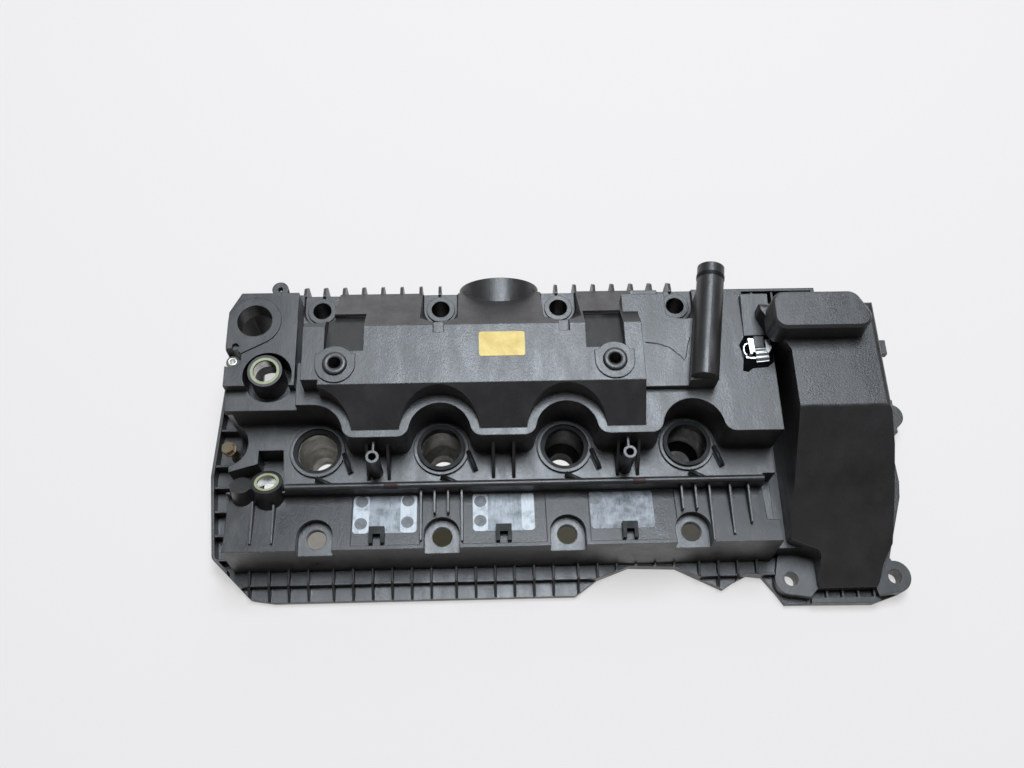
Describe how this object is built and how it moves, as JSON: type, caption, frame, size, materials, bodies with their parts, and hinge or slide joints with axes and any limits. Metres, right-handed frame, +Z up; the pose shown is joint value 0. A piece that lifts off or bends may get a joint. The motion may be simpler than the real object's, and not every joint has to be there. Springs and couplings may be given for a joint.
{
  "type": "engine valve cover",
  "caption": "Black moulded cylinder head cover with plug wells, oil separator box, breather pipe, motor port and a tall timing end.",
  "frame": {"origin": "on the axis of the first plug well, in the plane of the sealing face", "axes": "+X along the plug wells to the timing end, +Y to the intake side with the breather pipe and motor port, +Z up out of the cylinder head"},
  "size_m": [0.5848, 0.2699, 0.139],
  "materials": {
    "black_moulding": "satin",
    "black_rubber": "matte",
    "brass": "satin",
    "bright_metal": "polished",
    "pale_rubber": "satin",
    "tube_metal": "satin",
    "yellow_label": "satin",
    "zinc_steel": "satin"
  },
  "bodies": {
    "root": {"blank_label": "yellow_label", "brass_screw": "brass", "breather_ring": "black_rubber", "cover_shell": "black_moulding", "lower_sensor_liner": "bright_metal", "lower_sensor_ring": "pale_rubber", "perimeter_gasket": "black_rubber", "silver_screw": "zinc_steel", "spark_tubes": "tube_metal", "spring_clip": "bright_metal", "tube_seals": "black_rubber", "upper_sensor_liner": "bright_metal", "upper_sensor_ring": "pale_rubber"}
  },
  "joints": []
}
